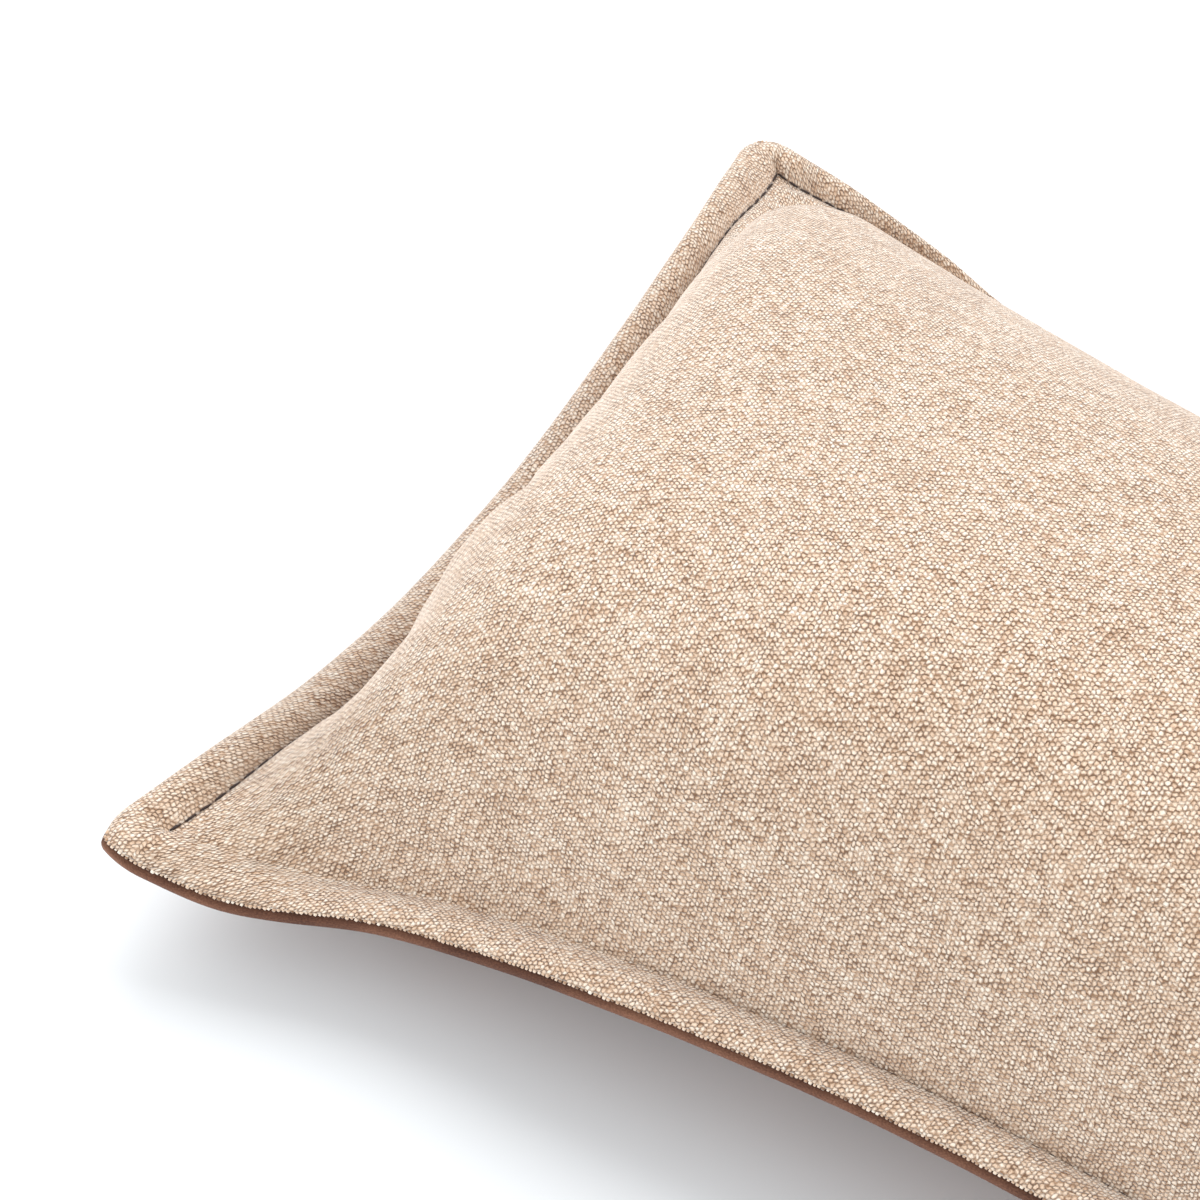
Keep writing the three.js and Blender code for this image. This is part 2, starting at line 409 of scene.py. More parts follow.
# How far each point lies from the cloth's middle lines, measured along its own yarns
def clothMeasure(points):
    rows, columns = points.shape[:2]
    alongX = np.linalg.norm(np.diff(points, axis=1), axis=-1)
    alongY = np.linalg.norm(np.diff(points, axis=0), axis=-1)
    x = np.concatenate([np.zeros((rows, 1)), np.cumsum(alongX, axis=1)], axis=1)
    y = np.concatenate([np.zeros((1, columns)), np.cumsum(alongY, axis=0)], axis=0)
    return np.stack([x - x[:, columns // 2, None], y - y[None, rows // 2]], -1)


# The cloth's settling under the filling's pressure, sewn down along the flange
settling = {
    "pressure": 9.0,
    "frames": 20,
    "quality": 6,
    "mass": 0.3,
    "stretch": 30,
    "shear": 8,
    "bending": 0.5,
    "fullness": 0.006,      # spare cloth, as a share
    "sewnFade": 0.008,      # metres from the stitching over which the cloth comes free
    "startInside": 0.003,   # how much smaller the filled part is before it settles
    "largestMove": 0.0014,  # how far it may end from the pattern's own form
}


def settleCloth(form, freedom):
    points = form - gridNormals(form) * (settling["startInside"] * freedom)[..., None]
    shape = bmesh.new()
    layGrid(shape, points)
    mesh = bpy.data.meshes.new("settlingCloth")
    shape.to_mesh(mesh)
    shape.free()
    cloth = bpy.data.objects.new("settlingCloth", mesh)
    bpy.context.scene.collection.objects.link(cloth)
    sewn = cloth.vertex_groups.new(name="sewn")
    for index, free in enumerate(freedom.ravel()):
        sewn.add([index], 1 - free, "REPLACE")
    settings = cloth.modifiers.new("settling", "CLOTH").settings
    settings.quality = settling["quality"]
    settings.mass = settling["mass"]
    settings.tension_stiffness = settling["stretch"]
    settings.compression_stiffness = settling["stretch"]
    settings.shear_stiffness = settling["shear"]
    settings.bending_stiffness = settling["bending"]
    settings.shrink_min = -settling["fullness"]
    settings.use_pressure = True
    settings.uniform_pressure_force = settling["pressure"]
    settings.vertex_group_mass = "sewn"
    settings.effector_weights.gravity = 0
    for step in range(1, settling["frames"] + 1):
        bpy.context.scene.frame_set(step)
    settled = cloth.evaluated_get(bpy.context.evaluated_depsgraph_get()).data
    places = np.empty(len(settled.vertices) * 3)
    settled.vertices.foreach_get("co", places)
    bpy.data.objects.remove(cloth)
    bpy.context.scene.frame_set(1)
    moves = places.reshape(form.shape) - form
    lengths = np.linalg.norm(moves, axis=-1, keepdims=True)
    print("woven cloth settled, mean and largest move in mm:", lengths.mean() / mm, lengths.max() / mm)
    return moves / (1 + lengths / settling["largestMove"])


def frontHeight(u, v):
    return seamHeight(u, v) - trenchDepth(u, v) + filling(crown, u, v)


def linerHeight(u, v):
    return middleHeight(u, v) + pillow["panelGap"] / 2


# 0 in the sewn flange and 1 where the cloth lies free over the filling
def freeCloth(linesAlong, linesAcross, fade):
    a, b = np.meshgrid(linesAlong, linesAcross)
    inside = np.minimum((1 - np.abs(a)) * seamX, (1 - np.abs(b)) * seamY)
    t = np.clip(inside / fade, 0, 1)
    return t * t * (3 - 2 * t)


# Smooth unevenness of the cloth, the same for both panels where they meet
def unevenness(points, size, seed):
    flat = points.reshape(-1, 3)
    values = [noise.noise(Vector((x / size, y / size, seed))) for x, y, _ in flat]
    return np.array(values).reshape(points.shape[:-1])


# The woven front: a filled, crowned body with its half of the flange
woven = {
    "cellsAlong": 100,          # in half the filled length
    "cellsAcross": 66,
    "flangeCells": 12,
    "seamReach": 0.014,         # metres from the stitching that its puckers and ruffles reach
    "bobblePitch": 0.00152,     # the row along the cut edge
    "bobbleRadius": 0.00072,
    "bobbleSegments": 5,
    "bobbleRings": 4,
    "smallest": 0.85,           # bobbles, as a share of the usual one
    "largest": 1.2,
    "bobbleStray": 0.00015,
}
ripples = [
    {"size": 0.045, "height": 0.0003, "seed": 1.5, "byTheSeam": False},
    {"size": 0.007, "height": 0.0010, "seed": 4.5, "byTheSeam": True},
    {"size": 0.016, "height": 0.0022, "seed": 6.5, "byTheSeam": True},
]
flangeWaves = {"size": 0.03, "height": 0.0006, "seed": 8.5}
linerFlange = [
    {"place": 0, "across": 0.00, "up": -4.5},
    {"place": 1, "across": 0.92, "up": -0.8},
]

# Soft folds and dents of the filled front, each along a line, in millimetres over the surface
folds = [
    {"x0": -246, "y0": -67, "x1": -244, "y1": -53, "height": 2.3, "width": 9},
    {"x0": -243, "y0": -44, "x1": -243, "y1": -36, "height": -1.2, "width": 7},
    {"x0": -259, "y0": -117, "x1": -254, "y1": -99, "height": -3.2, "width": 13},
    {"x0": -253, "y0": 56, "x1": -257, "y1": 98, "height": -2.2, "width": 15},
    {"x0": -266, "y0": 112, "x1": -262, "y1": 132, "height": -3.2, "width": 11},
    {"x0": -272, "y0": 142, "x1": -262, "y1": 160, "height": -3.6, "width": 9},
    {"x0": -262, "y0": 160, "x1": -236, "y1": 162, "height": -4.2, "width": 9},
    {"x0": -246, "y0": 118, "x1": -222, "y1": 128, "height": 1.2, "width": 10},
    {"x0": -278, "y0": 179, "x1": -242, "y1": 176, "height": 1.6, "width": 4},
    {"x0": -284, "y0": -184, "x1": -256, "y1": -181, "height": -1.2, "width": 5},
]


def foldHeights(points):
    x, y = points[..., 0], points[..., 1]
    total = np.zeros_like(x)
    for fold in folds:
        start = np.array([fold["x0"], fold["y0"]]) * mm
        run = np.array([fold["x1"], fold["y1"]]) * mm - start
        t = np.clip(((x - start[0]) * run[0] + (y - start[1]) * run[1]) / (run @ run), 0, 1)
        apart = np.hypot(x - start[0] - t * run[0], y - start[1] - t * run[1])
        total += fold["height"] * mm * np.exp(-(apart / (fold["width"] * mm)) ** 2)
    return total


def wovenTop(linesAlong, linesAcross):
    points = clothPoints(linesAlong, linesAcross, frontHeight, wovenFlange)
    free = freeCloth(linesAlong, linesAcross, settling["sewnFade"])
    points = points + finerGrid(settleCloth(points[::2, ::2], free[::2, ::2]))
    nearSeam = free * (1 - freeCloth(linesAlong, linesAcross, woven["seamReach"]))
    relief = np.zeros_like(free)
    for ripple in ripples:
        where = nearSeam if ripple["byTheSeam"] else free
        relief += unevenness(points, ripple["size"], ripple["seed"]) * ripple["height"] * where
    relief += foldHeights(points) * free
    points = points + gridNormals(points) * relief[..., None]
    return liftFlange(points, free)


def liftFlange(points, free):
    lift = unevenness(points, flangeWaves["size"], flangeWaves["seed"]) * flangeWaves["height"]
    along = np.clip((points[..., 0] / halfLength + 1) / 2, 0, 1)
    onFarSide = ramp(points[..., 1], droopReach["start"], droopReach["fade"])
    lift -= columnCurve(farDroop, "drop", mm)(along) * onFarSide
    lifted = points.copy()
    lifted[..., 2] += lift * (1 - free)
    return lifted


# Evenly spaced places along a line of points, with the direction there
def evenPlaces(line, pitch):
    reach = np.concatenate([[0], np.cumsum(np.linalg.norm(np.diff(line, axis=0), axis=1))])
    count = max(2, int(reach[-1] / pitch))
    stops = (np.arange(count) + 0.5) * reach[-1] / count
    places = np.stack([np.interp(stops, reach, line[:, k]) for k in range(3)], -1)
    ahead = np.stack([np.interp(stops + pitch / 4, reach, line[:, k]) for k in range(3)], -1)
    return places, ahead - places


# The four outer sides of a cloth's grid, and below the lines of stitching, k lines in from them
def outerSides(points):
    return [points[0], points[-1], points[:, 0], points[:, -1]]


def seamSides(points, k):
    return outerSides(points[k:-k, k:-k])


def repeatShape(shape, template, matrices):
    for matrix in matrices:
        template.transform(matrix)
        shape.from_mesh(template)
        template.transform(matrix.inverted())


# A ball, one across before it gets its sizes
def smallBall(name, segments, rings, sizes):
    shape = bmesh.new()
    bmesh.ops.create_uvsphere(shape, u_segments=segments, v_segments=rings, radius=0.5)
    bmesh.ops.scale(shape, vec=sizes, verts=shape.verts)
    mesh = bpy.data.meshes.new(name)
    shape.to_mesh(mesh)
    shape.free()
    return mesh


# Bobbles of the last yarn, which make the cut edge uneven over the suede
def edgeBobbles(points, measure):
    matrices, places = [], []
    stray = woven["bobbleStray"]
    for side, uv in zip(outerSides(points), outerSides(measure)):
        spots, _ = evenPlaces(side, woven["bobblePitch"])
        reach = np.linspace(0, 1, len(uv))
        for index, spot in enumerate(spots):
            size = random.uniform(woven["smallest"], woven["largest"])
            wobble = Vector([random.uniform(-stray, stray) for _ in range(3)])
            sized = Matrix.Diagonal((size, size, size, 1))
            matrices.append(Matrix.Translation(Vector(spot) + wobble) @ sized)
            share = (index + 0.5) / len(spots)
            places.append([np.interp(share, reach, uv[:, 0]), np.interp(share, reach, uv[:, 1])])
    return matrices, np.array(places)


def makeWovenFront(material):
    linesAlong = clothLines(woven["cellsAlong"], woven["flangeCells"])
    linesAcross = clothLines(woven["cellsAcross"], woven["flangeCells"])
    top = wovenTop(linesAlong, linesAcross)
    liner = clothPoints(linesAlong, linesAcross, linerHeight, linerFlange)
    liner = liftFlange(liner, freeCloth(linesAlong, linesAcross, settling["sewnFade"]))
    shape = bmesh.new()
    layGrid(shape, top)
    joinRims(shape, layGrid(shape, liner))
    bmesh.ops.recalc_face_normals(shape, faces=shape.faces)
    measure = clothMeasure(top)
    bobbles, bobblePlaces = edgeBobbles(top, measure)
    width = woven["bobbleRadius"] * 2
    ball = smallBall("bobble", woven["bobbleSegments"], woven["bobbleRings"], (width, width, width))
    repeatShape(shape, ball, bobbles)
    piece = finishPiece(shape, "wovenFront", material)
    places = [measure.reshape(-1, 2), clothMeasure(liner).reshape(-1, 2)]
    places.append(np.repeat(bobblePlaces, len(ball.vertices), axis=0))
    markCloth(piece, np.concatenate(places))
    markTrenchShade(piece, linesAlong, linesAcross)
    markSteepSheen(piece, top)
    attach(piece, "root")
    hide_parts("front_panel")
    print("woven front:", len(piece.data.polygons), "faces,", len(bobbles), "edge bobbles")
    return top


# Painted shade in the stitched trench and, beside a deep one, over the flange, in metres and shares
paintedTrenchShade = {
    "lineWidth": 0.0008,
    "lineFrom": 0.0005,     # depth of trench at which its line begins to show
    "lineFade": 0.00035,
    "faint": 0.26,          # strength of the line in a shallow trench
    "more": 0.57,           # and what a deep one adds
    "moreFrom": 0.001,
    "moreFade": 0.002,
    "out": 0.012,           # reach over the flange and, short of it, over the filled part
    "in": 0.003,
    "besideFrom": 0.0023,
    "besideFade": 0.0012,
    "beside": 0.6,
}


# Marks the painted shade: a dark line in the trench and, beside a deep trench, shade over the flange
def markTrenchShade(piece, linesAlong, linesAcross):
    a, b = np.meshgrid(linesAlong, linesAcross)
    fromEnd = (np.abs(a) - 1) * np.where(np.abs(a) > 1, pillow["flange"], seamX)
    fromSide = (np.abs(b) - 1) * np.where(np.abs(b) > 1, pillow["flange"], seamY)
    apart = np.maximum(fromEnd, fromSide)
    depth = trenchDepth(np.clip(a, -1, 1), np.clip(b, -1, 1))
    strength = paintedTrenchShade["faint"] + paintedTrenchShade["more"] * ramp(depth, paintedTrenchShade["moreFrom"], paintedTrenchShade["moreFade"])
    line = np.exp(-(apart / paintedTrenchShade["lineWidth"]) ** 2) * strength
    line = line * ramp(depth, paintedTrenchShade["lineFrom"], paintedTrenchShade["lineFade"])
    outwards = np.exp(-np.clip(apart, 0, None) / paintedTrenchShade["out"])
    inwards = np.exp(-(np.clip(apart, None, 0) / paintedTrenchShade["in"]) ** 2)
    beside = outwards * inwards * ramp(depth, paintedTrenchShade["besideFrom"], paintedTrenchShade["besideFade"])
    markValue(piece, "creaseShade", np.maximum(line, beside * paintedTrenchShade["beside"]))


# The steep ends and far side, where the woven cloth is painted paler and less varied as painted sheen,
# and its bobbles lie flatter
steepSheenPlace = {
    "upright": 0.78,        # upward part of the normal, under which the cloth counts as steep
    "uprightFade": 0.35,
    "nearSide": -0.45,      # part of the normal across the pillow, under which it gets no painted sheen
    "nearFade": 0.3,
}


def markSteepSheen(piece, top):
    normals = gridNormals(top)
    steep = ramp(steepSheenPlace["upright"] - normals[..., 2], 0, steepSheenPlace["uprightFade"])
    awayFromNear = ramp(normals[..., 1], steepSheenPlace["nearSide"], steepSheenPlace["nearFade"])
    markValue(piece, "steepSheen", steep * awayFromNear)


def markValue(piece, name, grid):
    values = np.zeros(len(piece.data.vertices), dtype=np.float32)
    values[:grid.size] = grid.ravel()
    piece.data.attributes.new(name, "FLOAT", "POINT").data.foreach_set("value", values)


# The suede back: a cloth sheet drawn tight under the filling and rolled up to the woven edge
suede = {
    "cellsAlong": 60,
    "cellsAcross": 40,
    "flangeCells": 14,
    "thickness": 0.002,
    "cutLength": 0.634,
    "cutWidth": 0.430,
    # painted shadow under the woven edge: the suede darkens past this line
    "rimShadowFrom": 1.86,        # line of the grid past which the suede darkens to its rim
    "rimShadowStrength": 5,
}


def makeSuedeBack(material):
    linesAlong = clothLines(suede["cellsAlong"], suede["flangeCells"])
    linesAcross = clothLines(suede["cellsAcross"], suede["flangeCells"])
    points = clothPoints(linesAlong, linesAcross, underHeight, suedeFlange)
    points = liftFlange(points, freeCloth(linesAlong, linesAcross, settling["sewnFade"]))
    points[..., 2] = np.maximum(points[..., 2], 0)
    shape = bmesh.new()
    layGrid(shape, points)
    bmesh.ops.reverse_faces(shape, faces=shape.faces)
    piece = finishPiece(shape, "suedeBack", material)
    markCloth(piece, clothMeasure(points).reshape(-1, 2))
    a, b = np.meshgrid(linesAlong, linesAcross)
    # Painted shadow under the woven edge, strongest at the suede's rim
    pastRim = np.clip(np.maximum(np.abs(a), np.abs(b)) - suede["rimShadowFrom"], 0, None)
    markValue(piece, "rimShadow", pastRim * suede["rimShadowStrength"])
    wall = piece.modifiers.new("cloth thickness", "SOLIDIFY")
    wall.thickness = suede["thickness"]
    wall.offset = -1
    wall.use_even_offset = True
    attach(piece, "root")
    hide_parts("back_panel")
    print("suede back:", len(piece.data.polygons), "faces")
    return points


# Top-stitching through both panels, in the trench in front and along the same line behind
stitching = {
    "pitch": 0.006,
    "length": 0.0052,
    "thickness": 0.0009,
    "slant": 7.0,           # degrees to either side of the line
    "flatTrench": 0.0009,   # a trench this deep lets the thread sink in by
    "sunk": 0.00035,
    "raised": 0.7,          # share of any further depth by which the thread stands up again
    "highest": 0.00035,     # the most it stands over the trench's floor
    "underSuede": 0.0003,   # how far it stands out below the back
    "segments": 6,
    "rings": 6,
}


def stitchMatrices(side, heights):
    matrices = []
    places, directions = evenPlaces(side, stitching["pitch"])
    for place, direction, above in zip(places, directions, heights(np.linspace(0, 1, len(places)))):
        turn = Vector(direction).to_track_quat("X", "Z").to_matrix().to_4x4()
        slant = math.radians(random.uniform(-1, 1) * stitching["slant"])
        spot = Vector(place) + Vector((0, 0, above))
        matrices.append(Matrix.Translation(spot) @ turn @ Matrix.Rotation(slant, 4, "Z"))
    return matrices


def threadHeights(trench):
    def heights(share):
        deeper = trench(share) - stitching["flatTrench"]
        return np.minimum(deeper * stitching["raised"] - stitching["sunk"], stitching["highest"])

    return heights


def backHeights(share):
    return np.full(len(share), -stitching["underSuede"])


def makeStitches(top, under, material):
    sizes = (stitching["length"], stitching["thickness"], stitching["thickness"])
    template = smallBall("stitch", stitching["segments"], stitching["rings"], sizes)
    shape = bmesh.new()
    for side, trench in zip(seamSides(top, woven["flangeCells"]), trenches):
        repeatShape(shape, template, stitchMatrices(side, threadHeights(trench)))
    for side in seamSides(under, suede["flangeCells"]):
        repeatShape(shape, template, stitchMatrices(side, backHeights))
    piece = finishPiece(shape, "topStitching", material)
    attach(piece, "root")
    print("stitching:", len(piece.data.polygons), "faces")


# A screen colour, 0 to 255, as the linear one that a shader takes
def linear(red, green, blue):
    return tuple(((c / 255 + 0.055) / 1.055) ** 2.4 for c in (red, green, blue)) + (1.0,)


def colourStops(stops):
    return [(place, linear(*colour)) for place, colour in stops]


# A shader value that Python's own signs work on
class Shade:
    def __init__(self, paint, socket):
        self.paint = paint
        self.socket = socket

    def math(self, operation, *others):
        return self.paint.node("Math", {"operation": operation}, [self, *others])

    def __add__(self, other):
        return self.math("ADD", other)

    def __sub__(self, other):
        return self.math("SUBTRACT", other)

    def __rsub__(self, other):
        return self.paint.node("Math", {"operation": "SUBTRACT"}, [other, self])

    def __mul__(self, other):
        return self.math("MULTIPLY", other)

    def __truediv__(self, other):
        return self.math("DIVIDE", other)

    def __pow__(self, other):
        return self.math("POWER", other)

    __radd__ = __add__
    __rmul__ = __mul__

    def floor(self):
        return self.math("FLOOR")

    def fraction(self):
        return self.math("FRACT")

    def clamped(self):
        return self.paint.node("Clamp", {}, [self, 0.0, 1.0])


# One material's nodes
class Paint:
    def __init__(self, name, roughness):
        self.material = bpy.data.materials.new(name)
        self.material.use_nodes = True
        self.tree = self.material.node_tree
        self.shader = self.tree.nodes["Principled BSDF"]
        self.shader.inputs["Roughness"].default_value = roughness

    def node(self, kind, settings, sockets, out=0):
        made = self.tree.nodes.new("ShaderNode" + kind)
        for name, value in settings.items():
            if name == "stops":
                self.placeStops(made.color_ramp.elements, value)
            else:
                setattr(made, name, value)
        pairs = sockets.items() if isinstance(sockets, dict) else enumerate(sockets)
        for key, value in pairs:
            self.plug(made.inputs[key], value)
        return Shade(self, made.outputs[out])

    def placeStops(self, elements, stops):
        for index, (place, colour) in enumerate(stops):
            stop = elements[index] if index < 2 else elements.new(place)
            stop.position = place
            stop.color = colour

    def plug(self, socket, value):
        if isinstance(value, Shade):
            self.tree.links.new(value.socket, socket)
        else:
            socket.default_value = value

    def feed(self, name, value):
        self.plug(self.shader.inputs[name], value)

    def mixed(self, factor, first, second):
        return self.node("Mix", {"data_type": "RGBA"}, {0: factor, 6: first, 7: second}, 2)

    def clothPlace(self):
        return self.node("UVMap", {"uv_map": "cloth"}, {})

    def objectPlace(self):
        return self.node("TexCoord", {}, {}, 3)

    def marked(self, name):
        return self.node("Attribute", {"attribute_name": name}, {}, 2)

    def chance(self, place, out=0):
        return self.node("TexWhiteNoise", {"noise_dimensions": "2D"}, {"Vector": place}, out)

    def noise(self, place, scale, detail=2.0, roughness=0.5):
        sockets = {"Vector": place, "Scale": scale, "Detail": detail, "Roughness": roughness}
        return self.node("TexNoise", {"noise_dimensions": "3D"}, sockets)

    def bump(self, height, distance):
        sockets = {"Strength": 1.0, "Distance": distance, "Height": height}
        self.feed("Normal", self.node("Bump", {}, sockets))


weave = {
    "across": 0.00152,          # one bobble, across and along its column, in metres
    "along": 0.00160,
    "turn": 1.8,                # degrees off the pillow's own sides
    "wander": 0.0011,           # how far yarns stray, slowly and from bobble to bobble
    "wanderScale": 55.0,
    "jitter": 0.00055,
    "jitterScale": 520.0,
    "offAcross": 0.26,          # how far a bobble is off its place, as shares of its sizes
    "offAlong": 0.30,
    "domeHeight": 1.16,         # over 1, so that a bobble's top is flat
    "sideCurve": 2.8,
    "endCurve": 4.8,
    "weftRun": 0.07,            # noise along and across a weft yarn, and its seed
    "weftStep": 0.61,
    "weftSeed": 5.0,
    "warpRun": 0.13,
    "warpStep": 0.83,
    "yarnSoftness": 0.4,
    "weftShare": 0.78,
    "warpShare": 0.22,
    "fibreScale": 3.0,
    "patchScale": 45.0,
    "streaks": 0.64,            # what each of these adds to the tone
    "fibres": 0.75,
    "patches": 0.12,
    "bobbles": 0.42,
    "gapShadeLeast": 0.21,           # and what the painted shade in the gaps between bobbles takes off it
    "gapShadeSpread": 0.6,
    "tone": 0.467,
    "calm": 0.6,                # share of that variety and relief lost on the steep walls, where sheen is painted
    # painted sheen: how much paler the steep walls are
    "sheenPaler": 0.04,
    "stops": [
        (0.04, (152, 118, 90)),
        (0.26, (191, 157, 129)),
        (0.46, (219, 190, 163)),
        (0.68, (239, 216, 193)),
        (0.92, (250, 238, 222)),
    ],
    "deepGapShade": (96, 66, 45),      # painted shade: dark specks deep in some of the gaps
    "speckFrom": 0.6,
    "speckDepth": 2.0,
    "speckStrength": 0.5,
    "speckCalm": 0.8,
    # colour of the painted shade in the stitched trench and over the flange beside it
    "creaseShade": (70, 44, 34),
    "relief": 0.00070,
    "reliefCurve": 0.75,
    "reliefSpread": 0.35,
    "reliefLeast": 0.75,
    "fibreRelief": 0.3,
    "roughness": 0.95,
    "sheen": 0.6,
    "sheenRoughness": 0.5,
    "specular": 0.2,
}


# A place moved by noise, by about half of reach each way
def strayed(paint, place, scale, reach):
    sockets = {"Vector": place, "Scale": scale, "Detail": 1.0}
    wander = paint.node("TexNoise", {"noise_dimensions": "2D"}, sockets, 1)
    centred = paint.node("VectorMath", {"operation": "SUBTRACT"}, [wander, (0.5, 0.5, 0.5)])
    scaled = paint.node("VectorMath", {"operation": "SCALE"}, {0: centred, 3: reach * 2})
    return paint.node("VectorMath", {"operation": "ADD"}, [place, scaled])


def makeWovenMaterial():
    paint = Paint("wovenCloth", weave["roughness"])
    cloth = paint.clothPlace()
    place = strayed(paint, cloth, weave["wanderScale"], weave["wander"])
    place = strayed(paint, place, weave["jitterScale"], weave["jitter"])
    turned = {"Vector": place, "Angle": math.radians(weave["turn"])}
    place = paint.node("VectorRotate", {"rotation_type": "Z_AXIS"}, turned)
    x = paint.node("SeparateXYZ", {}, [place], 0) / weave["across"]
    y = paint.node("SeparateXYZ", {}, [place], 1) / weave["along"]
    column = x.floor()
    y = y + (column * 0.5).fraction()       # every other column is half a bobble on
    row = y.floor()
    bobble = paint.node("CombineXYZ", {}, [column, row, 0.0])
    chance, otherChance = paint.chance(bobble), paint.chance(bobble, 1)
    fromSide = (x - column - 0.5) + (chance - 0.5) * weave["offAcross"]
    fromEnd = (y - row - 0.5) - (chance - 0.5) * weave["offAlong"]
    besides = fromSide * fromSide * (chance + weave["sideCurve"])
    dome = (weave["domeHeight"] - besides - fromEnd * fromEnd * (weave["endCurve"] - chance)).clamped()
    weftPlace = [x * weave["weftRun"], row * weave["weftStep"], weave["weftSeed"]]
    warpPlace = [column * weave["warpStep"], y * weave["warpRun"], 0.0]
    weft = paint.noise(paint.node("CombineXYZ", {}, weftPlace), 1.0, 1.0, weave["yarnSoftness"])
    warp = paint.noise(paint.node("CombineXYZ", {}, warpPlace), 1.0, 1.0, weave["yarnSoftness"])
    streaks = weft * weave["weftShare"] + warp * weave["warpShare"] - 0.5
    fibres = paint.noise(paint.node("CombineXYZ", {}, [x, y, 0.0]), weave["fibreScale"]) - 0.5
    patches = paint.noise(cloth, weave["patchScale"], 3.0) - 0.5
    steepSheen = paint.marked("steepSheen")
    # Painted shade in the hollows between bobbles
    gap = (1 - dome) * (otherChance * weave["gapShadeSpread"] + weave["gapShadeLeast"])
    tone = streaks * weave["streaks"] + fibres * weave["fibres"]
    tone = tone + patches * weave["patches"] + chance * weave["bobbles"] - gap
    # Painted sheen: the steep walls are paler and less varied
    tone = tone * (1 - steepSheen * weave["calm"]) + steepSheen * weave["sheenPaler"] + weave["tone"]
    colour = paint.node("ValToRGB", {"stops": colourStops(weave["stops"])}, [tone])
    # Painted shade deep in some of the gaps between bobbles
    inSome = paint.node("Math", {"operation": "GREATER_THAN"}, [otherChance, weave["speckFrom"]])
    deepGapShade = (1 - dome * weave["speckDepth"]).clamped() * inSome
    deepGapShade = deepGapShade * (1 - steepSheen * weave["speckCalm"]) * weave["speckStrength"]
    colour = paint.mixed(deepGapShade, colour, linear(*weave["deepGapShade"]))
    # Painted shade in the stitched trench and over the flange beside it
    colour = paint.mixed(paint.marked("creaseShade"), colour, linear(*weave["creaseShade"]))
    paint.feed("Base Color", colour)
    height = dome ** weave["reliefCurve"] * (chance * weave["reliefSpread"] + weave["reliefLeast"])
    height = (height + fibres * weave["fibreRelief"]) * (1 - steepSheen * weave["calm"])
    paint.bump(height, weave["relief"])
    paint.feed("Sheen Weight", weave["sheen"])
    paint.feed("Sheen Roughness", weave["sheenRoughness"])
    paint.feed("Specular IOR Level", weave["specular"])
    return paint.material


nap = {
    "patchScale": 28.0,
    "grainScale": 1300.0,
    "grainRoughness": 0.6,
    "grainShare": 0.5,
    "stops": [
        (0.36, (78, 46, 33)),
        (0.50, (114, 74, 55)),
        (0.64, (146, 102, 78)),
    ],
    # colour of the painted shadow under the woven edge
    "rimShadow": (44, 27, 20),        # under the woven edge
    "relief": 0.00014,
    "roughness": 0.9,
    "sheen": 0.06,
    "specular": 0.25,
}


def makeSuedeMaterial():
    paint = Paint("napSuede", nap["roughness"])
    cloth = paint.clothPlace()
    patches = paint.noise(cloth, nap["patchScale"], 3.0)
    grain = paint.noise(cloth, nap["grainScale"], 3.0, nap["grainRoughness"])
    tone = patches * (1 - nap["grainShare"]) + grain * nap["grainShare"]
    colour = paint.node("ValToRGB", {"stops": colourStops(nap["stops"])}, [tone])
    # Painted shadow under the woven edge, along the suede's rim
    paint.feed("Base Color", paint.mixed(paint.marked("rimShadow"), colour, linear(*nap["rimShadow"])))
    paint.bump(grain, nap["relief"])
    paint.feed("Sheen Weight", nap["sheen"])
    paint.feed("Specular IOR Level", nap["specular"])
    return paint.material


thread = {
    "dark": (30, 17, 15),
    "pale": (58, 38, 32),
    "grainScale": 900.0,
    "roughness": 0.6,
}


def makeThreadMaterial():
    paint = Paint("darkThread", thread["roughness"])
    tone = paint.noise(paint.objectPlace(), thread["grainScale"])
    paint.feed("Base Color", paint.mixed(tone, linear(*thread["dark"]), linear(*thread["pale"])))
    return paint.material


surround = {
    "floorSize": 8.0,
    "floorColour": (234, 238, 241),
    "floorDarker": 2,           # off each part of the colour, in patches
    "floorPatches": 3.0,
    "floorRoughness": 0.9,
    "sky": 1.06,
    "keyPower": 37.0,
    "keySize": 2.0,
    "keyPlace": (-0.6, 1.2, 1.9),
    "fillPower": 2.6,
    "fillSize": 0.7,
    "fillPlace": (-0.95, -1.0, 0.5),
}


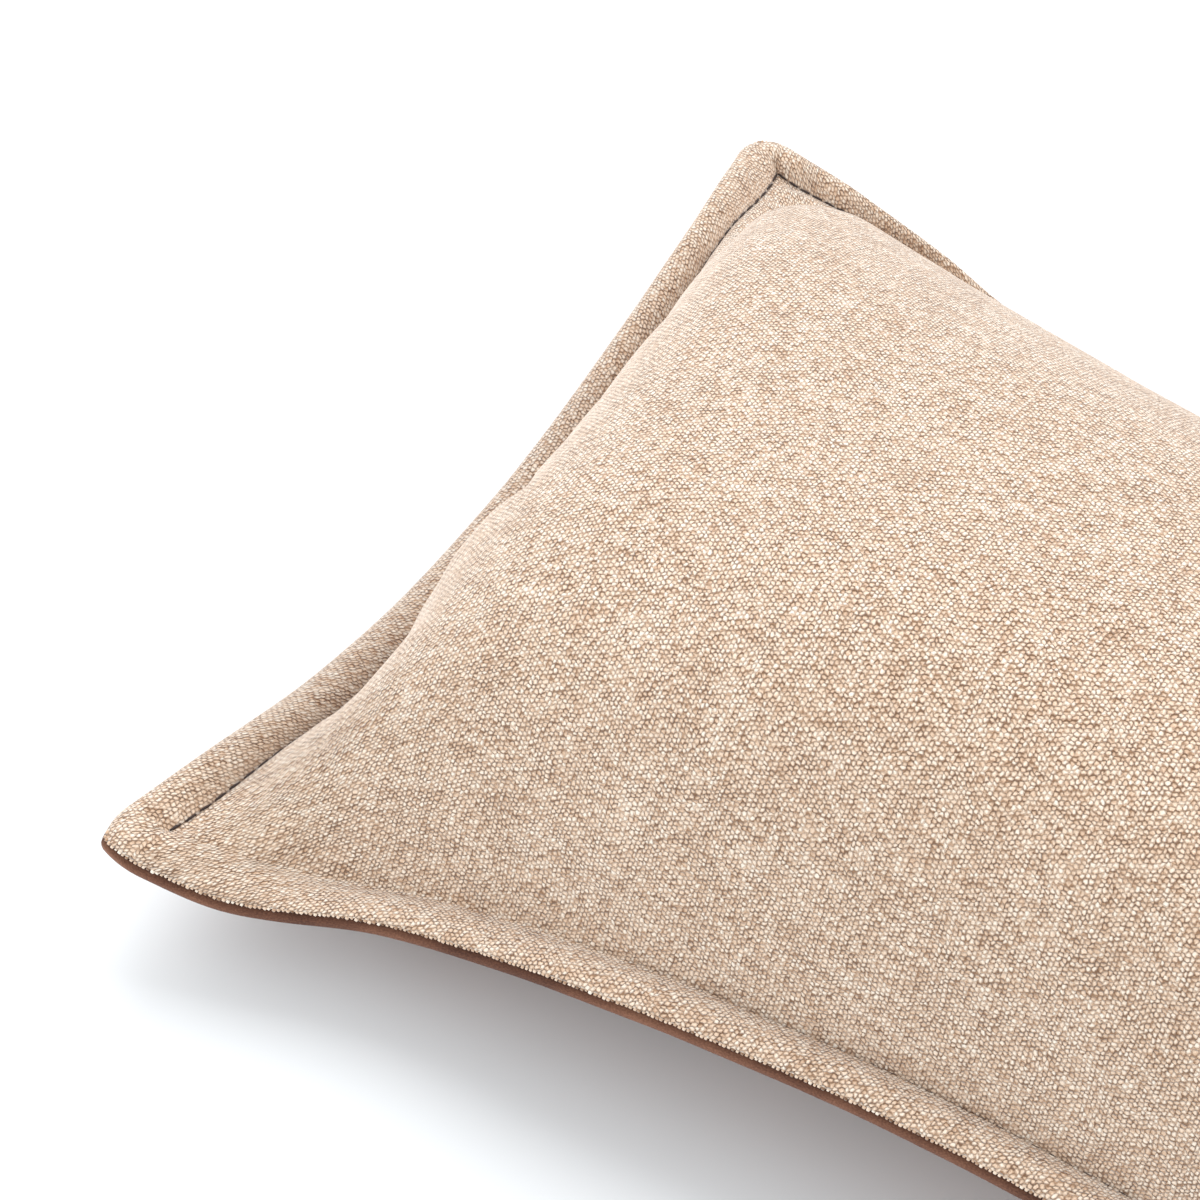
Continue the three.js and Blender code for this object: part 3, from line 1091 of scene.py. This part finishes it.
def makeFloor():
    shape = bmesh.new()
    bmesh.ops.create_grid(shape, x_segments=1, y_segments=1, size=surround["floorSize"] / 2)
    paint = Paint("paleFloor", surround["floorRoughness"])
    shade = paint.noise(paint.objectPlace(), surround["floorPatches"], 1.0)
    pale = linear(*surround["floorColour"])
    slightlyDarker = linear(*(c - surround["floorDarker"] for c in surround["floorColour"]))
    paint.feed("Base Color", paint.mixed(shade, pale, slightlyDarker))
    finishPiece(shape, "floor", paint.material)


def addLight(name, power, size, place, aim):
    lamp = bpy.data.lights.new(name, "AREA")
    lamp.energy = power
    lamp.size = size
    holder = bpy.data.objects.new(name, lamp)
    holder.location = place
    holder.rotation_euler = (Vector(aim) - Vector(place)).to_track_quat("-Z", "Y").to_euler()
    bpy.context.scene.collection.objects.link(holder)


def makeSurround():
    makeFloor()
    aim = camera["target"]
    addLight("keyLight", surround["keyPower"], surround["keySize"], surround["keyPlace"], aim)
    addLight("fillLight", surround["fillPower"], surround["fillSize"], surround["fillPlace"], aim)
    world = bpy.data.worlds.new("studio")
    world.use_nodes = True
    sky = world.node_tree.nodes["Background"]
    sky.inputs["Color"].default_value = (1, 1, 1, 1)
    sky.inputs["Strength"].default_value = surround["sky"]
    scene = bpy.context.scene
    scene.world = world
    scene.view_settings.view_transform = "Standard"


def makeCamera():
    azimuth, elevation = math.radians(camera["azimuth"]), math.radians(camera["elevation"])
    level = math.cos(elevation)
    back = Vector((math.sin(azimuth) * level, -math.cos(azimuth) * level, math.sin(elevation)))
    lens = bpy.data.cameras.new("photoCamera")
    lens.lens = camera["lensForOneMetre"] * camera["distance"]
    holder = bpy.data.objects.new("photoCamera", lens)
    holder.location = Vector(camera["target"]) + back * camera["distance"]
    holder.rotation_euler = (-back).to_track_quat("-Z", "Y").to_euler()
    bpy.context.scene.collection.objects.link(holder)
    bpy.context.scene.camera = holder


makeCamera()
makeSurround()
print("camera, floor and lights ready")
wovenMaterial = makeWovenMaterial()
suedeMaterial = makeSuedeMaterial()
threadMaterial = makeThreadMaterial()
print("materials ready")
frontPoints = makeWovenFront(wovenMaterial)
underPoints = makeSuedeBack(suedeMaterial)
makeStitches(frontPoints, underPoints, threadMaterial)
